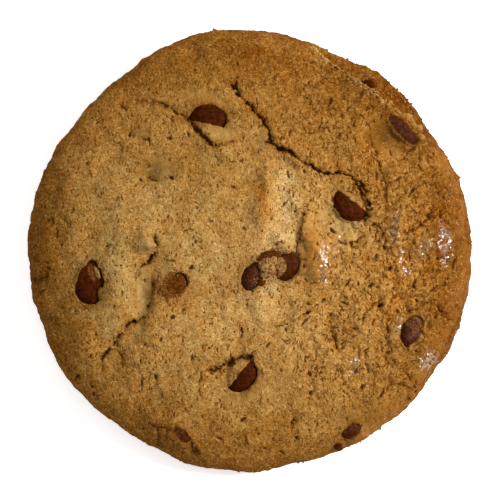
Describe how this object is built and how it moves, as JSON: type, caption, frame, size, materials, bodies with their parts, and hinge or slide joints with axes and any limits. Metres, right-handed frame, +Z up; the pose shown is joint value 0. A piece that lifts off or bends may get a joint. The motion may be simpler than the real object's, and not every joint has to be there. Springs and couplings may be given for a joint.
{
  "type": "chocolate chip cookie",
  "caption": "Round soft-baked biscuit with a domed, cracked golden-brown top, chocolate chips set into it and a flat underside; a snack that lies on its base.",
  "frame": {"origin": "on the flat underside, under the middle of the cookie's box", "axes": "+Z up through the cookie's thickness; +Y to the north of the chips' names, +X to their east"},
  "size_m": [0.085, 0.0848, 0.0134],
  "materials": {
    "dough": "dry baked crumb, golden brown",
    "chocolate": "satin dark chocolate"
  },
  "bodies": {
    "root": {"dough": "dough", "chip_north": "chocolate", "chip_north_east": "chocolate", "chip_middle_west": "chocolate", "chip_middle_east": "chocolate", "chip_west": "chocolate", "chip_inner_west": "chocolate", "chip_south": "chocolate", "chip_east": "chocolate", "chip_rim_north_east": "chocolate", "chip_rim_south_east": "chocolate", "chip_rim_south_west": "chocolate", "chip_edge_south": "chocolate", "chip_edge_north_east": "chocolate"}
  },
  "joints": []
}
